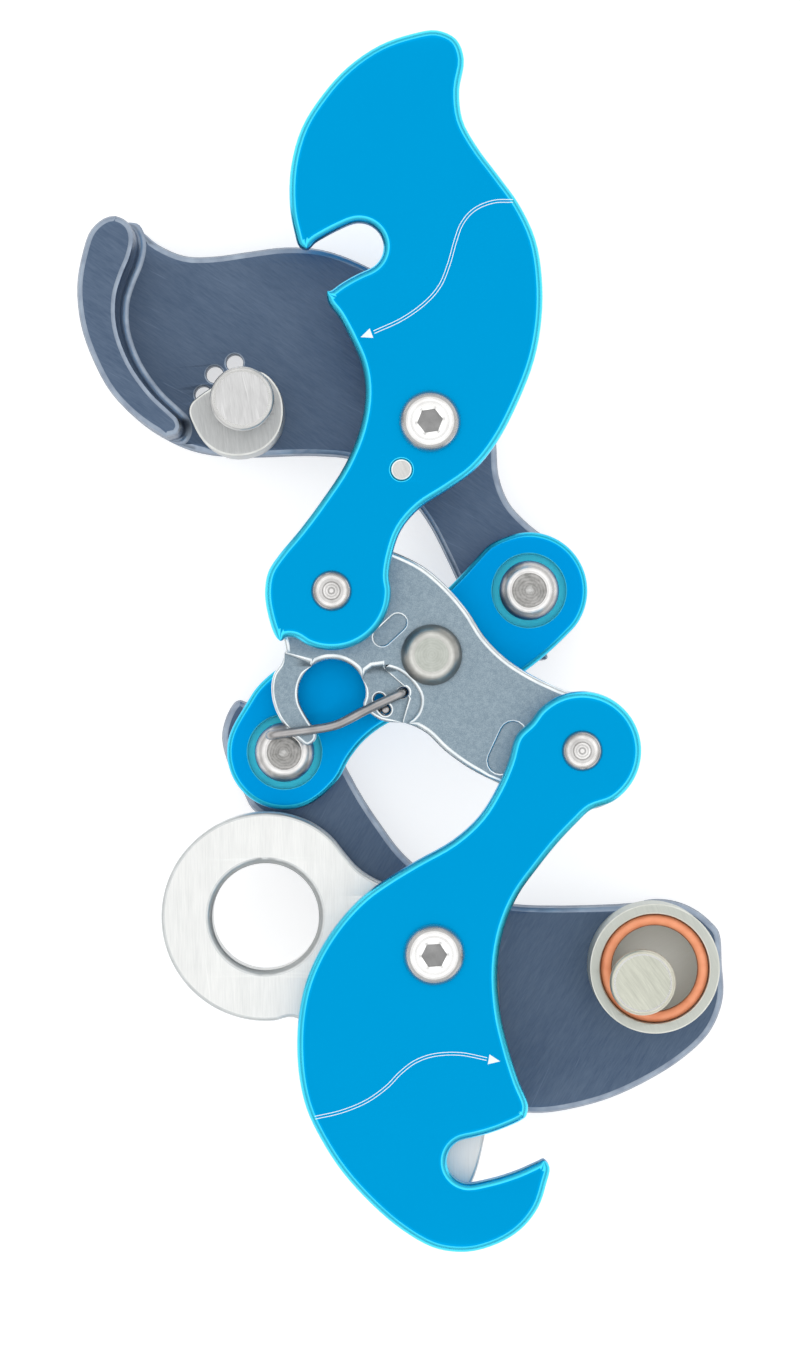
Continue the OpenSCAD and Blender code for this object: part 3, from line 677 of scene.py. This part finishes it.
# Posts, rivets and pins
def post(node, made, profile, finish, zones, above, sharp=32):
    bm = lathe(profile, made["centre"])
    for reach, number in zones:  # the head's flats take their own finish, the widest first
        markInside(bm, [made["centre"]], reach, above, math.inf, number)
    toPiece(bm, made["name"], made["body"], node, finish, sharp)


def rearButton(neck):  # closed head behind a plate, from its middle outwards
    tall = 1.4
    reach = neck + 1.4
    grown = curveOf((reach, -outerFace - 0.4), (neck - 0.6, -outerFace - tall), steps=6)
    return [(0, -outerFace - tall)] + grown[::-1] + [(reach, -outerFace), (neck, -outerFace)]


mushroom = {"foot": 11.7, "side": 13.5, "lip": 14.12, "ring": 14.14, "top": 14.3}
ropePosts = {
    "upper_rope_post": {"name": "upperRopePost", "body": "upper_arm", "centre": upperPost, "neck": 3.1,
                        "head": 4.57, "finish": [upperRound, upperFace, brightSteelHighlight]},
    "lower_rope_post": {"name": "lowerRopePost", "body": "lower_arm", "centre": lowerPost, "neck": 2.8,
                        "head": 4.68, "finish": [lowerRound, lowerFace, brightSteelHighlight]},
}
for node, made in ropePosts.items():
    neck = made["neck"]
    head = made["head"]
    profile = rearButton(neck)
    profile += [(neck, mushroom["foot"]), (head - 0.25, mushroom["foot"]), (head, mushroom["foot"] + 0.25)]
    profile += curveOf((head, mushroom["side"]), (head - 0.5, mushroom["lip"]), steps=6)
    profile += [(head - 0.54, mushroom["ring"]), (head - 0.78, mushroom["top"]), (0, mushroom["top"])]
    post(node, made, profile, made["finish"], [(head - 0.53, 2), (head - 0.79, 1)], above=14)

pivot = {"neck": 3, "journal": 3.2, "flange": 4.3, "seat": -7, "base": -3.75, "ringPitch": 0.00042}
pivotPosts = {
    "upper_pivot_post": {"name": "upperPivotPost", "body": "upper_arm", "centre": upperPin},
    "lower_pivot_post": {"name": "lowerPivotPost", "body": "lower_arm", "centre": lowerPin},
}
for node, made in pivotPosts.items():
    profile = rearButton(pivot["neck"])
    profile += [(pivot["neck"], pivot["seat"]), (pivot["journal"], pivot["seat"]),
                (pivot["journal"], pivot["base"]), (pivot["flange"] - 0.15, pivot["base"]),
                (pivot["flange"], pivot["base"] + 0.15)]
    profile += curveOf((pivot["flange"], -0.9), (2.6, 0.6), steps=9, start=40)
    profile += [(2.52, 0.57), (2.46, 0.42), (2.38, 0.44), (2.1, 0.5), (1.2, 0.47), (0.5, 0.5), (0, 0.52)]
    # painted shade: each dome darkens towards its rim, from 3.3 to 4.45 mm
    dome = polished(made["name"] + "Dome", tint(0.8, 0.79, 0.78), tint(0.62, 0.61, 0.6), 0.26,
                    made["centre"], tint(0.26, 0.25, 0.24), (3.3, 4.45))
    middle = turned(made["name"] + "Middle", tint(0.46, 0.45, 0.44), tint(0.22, 0.22, 0.21),
                    made["centre"], pivot["ringPitch"], 0.3, 0.6)
    post(node, made, profile, [dome, middle], [(2.45, 1)], above=0.3, sharp=50)

spineRivet = {"name": "spineRivet", "body": "rear_link", "centre": spine, "low": -8.3, "shank": 3,
              "seat": 6.95, "head": 4.37, "top": 9.0, "ringPitch": 0.00036}
shank = spineRivet["shank"]
head = spineRivet["head"]
top = spineRivet["top"]
profile = [(0, spineRivet["low"]), (shank - 0.2, spineRivet["low"]), (shank, spineRivet["low"] + 0.2),
           (shank, spineRivet["seat"]), (4.2, spineRivet["seat"]), (head, 7.1)]
profile += curveOf((head, 7.3), (2.55, top + 0.05), steps=9, start=20)
profile += [(2.45, top), (2.2, top - 0.03), (1.2, top - 0.01), (0, top)]
# painted shade: the dome darkens towards its rim, from 2.9 to 4.5 mm
dome = polished("spineDome", tint(0.6, 0.6, 0.57), tint(0.5, 0.5, 0.47), 0.34, spine,
                tint(0.2, 0.2, 0.19), (2.9, 4.5))
middle = turned("spineMiddle", tint(0.52, 0.54, 0.5), tint(0.42, 0.44, 0.4), spine,
                spineRivet["ringPitch"], 0.4)
post("spine_rivet", spineRivet, profile, [dome, middle], [(2.42, 1)], above=8.8, sharp=50)

linkRivets = {
    "upper_link_rivet": {"name": "upperLinkRivet", "body": "upper_front_plate"},
    "lower_link_rivet": {"name": "lowerLinkRivet", "body": "lower_front_plate"},
}
for node, made in linkRivets.items():
    made["centre"] = middleOf(node)
    profile = [(0, 7.02), (2.2, 7.02), (2.2, outerFace), (2.8, outerFace), (2.9, outerFace + 0.1)]
    profile += curveOf((2.9, 11.75), (1.55, 12.8), steps=9, start=15)
    profile += [(1.35, 12.78), (1.15, 12.6), (0.95, 12.55), (0.75, 12.66), (0.55, 12.7), (0.3, 12.52),
                (0, 12.45)]
    # painted shade: each dome darkens towards its rim, from 2.1 to 3.1 mm
    dome = polished(made["name"] + "Dome", tint(0.76, 0.75, 0.74), tint(0.52, 0.51, 0.5), 0.2,
                    made["centre"], tint(0.3, 0.29, 0.28), (2.1, 3.1))
    post(node, made, profile, [dome], [], above=outerFace, sharp=60)

stopPin = {"name": "stopPin", "body": "upper_front_plate", "centre": middleOf("stop_pin"), "radius": 1.5}
profile = [(0, 4), (stopPin["radius"] - 0.2, 4), (stopPin["radius"], 4.2), (stopPin["radius"], 11.45),
           (1.42, 11.55), (1.28, 11.6), (0, 11.56)]
post("stop_pin", stopPin, profile, [steel, postMetal], [(1.2, 1)], above=outerFace)
print("made posts, rivets and pins")

# Ring, wire and spring
toPiece(fromNode("bollard_o_ring"), "bollardRing", "lower_bollard", "bollard_o_ring",
        [orange], sharpAngle=180, weighted=False)

wire = toPiece(fromNode("wire_gate"), "wireGate", "wire_gate", "wire_gate",
               [wireSteel], sharpAngle=60, weighted=False)
smoother = wire.modifiers.new("rounder", "SUBSURF")
smoother.levels = 1
smoother.render_levels = 1

coil = {"radius": 0.95, "wire": 0.16, "turns": 5, "steps": 24}
springLow, springHigh = lowAndHigh("detent_spring")
springMiddle = (springLow + springHigh) / 2
bm = bmesh.new()
ring = bmesh.ops.create_circle(bm, cap_ends=True, radius=coil["wire"], segments=10)["verts"]
bmesh.ops.rotate(bm, verts=ring, matrix=Matrix.Rotation(math.pi / 2, 3, "X"))
bmesh.ops.translate(bm, verts=ring, vec=(coil["radius"], 0, springLow.z + coil["wire"]))
climb = (springHigh.z - springLow.z - 2 * coil["wire"]) / (coil["turns"] * coil["steps"])
bmesh.ops.spin(bm, geom=bm.faces[:] + bm.edges[:] + bm.verts[:], cent=(0, 0, 0), axis=(0, 0, 1),
               dvec=(0, 0, climb), angle=2 * math.pi * coil["turns"],
               steps=coil["turns"] * coil["steps"], use_merge=False)
bmesh.ops.translate(bm, verts=bm.verts, vec=(springMiddle.x, springMiddle.y, 0))
bmesh.ops.recalc_face_normals(bm, faces=bm.faces)
toPiece(bm, "detentSpring", "upper_cam", "detent_spring", [wireSteel],
        sharpAngle=60, weighted=False)
print("made the ring, the wire gate and the spring")


# Printed rope lines
def smoothPath(points, steps=6):
    ends = [2 * points[0] - points[1]] + points + [2 * points[-1] - points[-2]]
    path = []
    for a, b, c, d in zip(ends, ends[1:], ends[2:], ends[3:]):
        for i in range(steps):
            t = i / steps
            path.append(0.5 * (2 * b + (c - a) * t + (2 * a - 5 * b + 4 * c - d) * t ** 2
                               + (3 * b - a - 3 * c + d) * t ** 3))
    return path + [points[-1]]


def ribbon(bm, path, shift, width, level):
    sides = []
    for before, after, here in zip([path[0]] + path, path[1:] + [path[-1]], path):
        along = (after - before).normalized()
        sides.append((here, Vector((-along.y, along.x))))
    line = [bm.verts.new((*(here + side * (shift - width / 2)), level)) for here, side in sides]
    edges = [bm.edges.new(pair) for pair in zip(line, line[1:])]
    grown = bmesh.ops.extrude_edge_only(bm, edges=edges)["geom"]
    across = {start.co.to_tuple(4): side for start, (here, side) in zip(line, sides)}
    for item in grown:
        if isinstance(item, bmesh.types.BMVert):
            item.co.xy += across[item.co.to_tuple(4)] * width


def ropeLine(name, body, hinge, points, tip):  # two thin lines that end in an arrowhead
    ink = {"apart": 0.4, "wide": 0.1, "tall": 0.02, "head": 1.65, "half": 0.72,
           "level": outerFace + 0.005}
    path = smoothPath([Vector((x + hinge.x, y + hinge.y)) for x, y in points])
    bm = bmesh.new()
    for shift in (-ink["apart"] / 2, ink["apart"] / 2):
        ribbon(bm, path, shift, ink["wide"], ink["level"])
    end = Vector((tip[0] + hinge.x, tip[1] + hinge.y))
    along = (end - path[-1]).normalized()
    side = Vector((-along.y, along.x))
    head = [end, end - along * ink["head"] + side * ink["half"],
            end - along * ink["head"] - side * ink["half"]]
    bm.faces.new([bm.verts.new((*corner, ink["level"])) for corner in head])
    bmesh.ops.recalc_face_normals(bm, faces=bm.faces)
    for face in bm.faces:
        if face.normal.z < 0:
            face.normal_flip()
    grown = bmesh.ops.extrude_face_region(bm, geom=bm.faces[:])["geom"]
    for item in grown:
        if isinstance(item, bmesh.types.BMVert):
            item.co.z += ink["tall"]
    bmesh.ops.recalc_face_normals(bm, faces=bm.faces)
    toPiece(bm, name, body, None, [white], sharpAngle=30, weighted=False)


ropeLine("upperRopeLine", "upper_front_plate", upperHinge,
         [(12.1, 31.4), (9.3, 31.3), (6.6, 30.2), (4.8, 28.2), (3.8, 25.6), (2.9, 22.5),
          (1.6, 19.4), (-0.6, 16.9), (-3.9, 14.6), (-7.9, 12.8)], (-9.8, 12.1))
ropeLine("lowerRopeLine", "lower_front_plate", lowerHinge,
         [(-17.2, -23.15), (-13.4, -22.3), (-9.9, -20.9), (-7.0, -18.9), (-4.9, -16.8),
          (-2.7, -15.2), (0.1, -14.3), (3.7, -14.2), (7.4, -14.95)], (9.3, -15.3))
print("made the printed lines")

# Stage and light
stage = {"size": 3, "below": 0.0002, "rough": 0.9, "glow": 0.62}
floorMesh = bpy.data.meshes.new("floor")
bm = bmesh.new()
bmesh.ops.create_grid(bm, x_segments=1, y_segments=1, size=stage["size"])
bmesh.ops.translate(bm, verts=bm.verts, vec=(0, 0, cadBounds[0][2] - stage["below"]))
bm.to_mesh(floorMesh)
bm.free()
floorFinish = Finish("paleFloor")
floorCloud = floorFinish.noise(floorFinish.place, 30, 3)
floorMesh.materials.append(floorFinish.close(
    Base_Color=floorFinish.mix(floorCloud, tint(0.6, 0.6, 0.61), tint(0.62, 0.62, 0.62)),
    Roughness=stage["rough"], Emission_Color=tint(1, 1, 1), Emission_Strength=stage["glow"]))
floor = bpy.data.objects.new("floor", floorMesh)
bpy.context.scene.collection.objects.link(floor)

softRoom = {"strength": 1.5, "stops": [(0.0, 0.35), (0.4, 0.45), (0.6, 0.78), (0.82, 1.05), (0.95, 0.8),
                                       (0.99, 0.62)]}
world = bpy.data.worlds.new("softRoom")
bpy.context.scene.world = world
room = Finish("softRoom", world)
height = room.node("SeparateXYZ", {}, {0: room.place}, pick="Z")
bright = room.node("ValToRGB", {"stops": softRoom["stops"]}, {0: height})
glow = room.node("Background", {}, {0: bright, "Strength": softRoom["strength"]})
room.node("OutputWorld", {}, {0: glow})
print("stage and light set")

bpy.context.scene.view_settings.view_transform = "Standard"

print("scene ready")
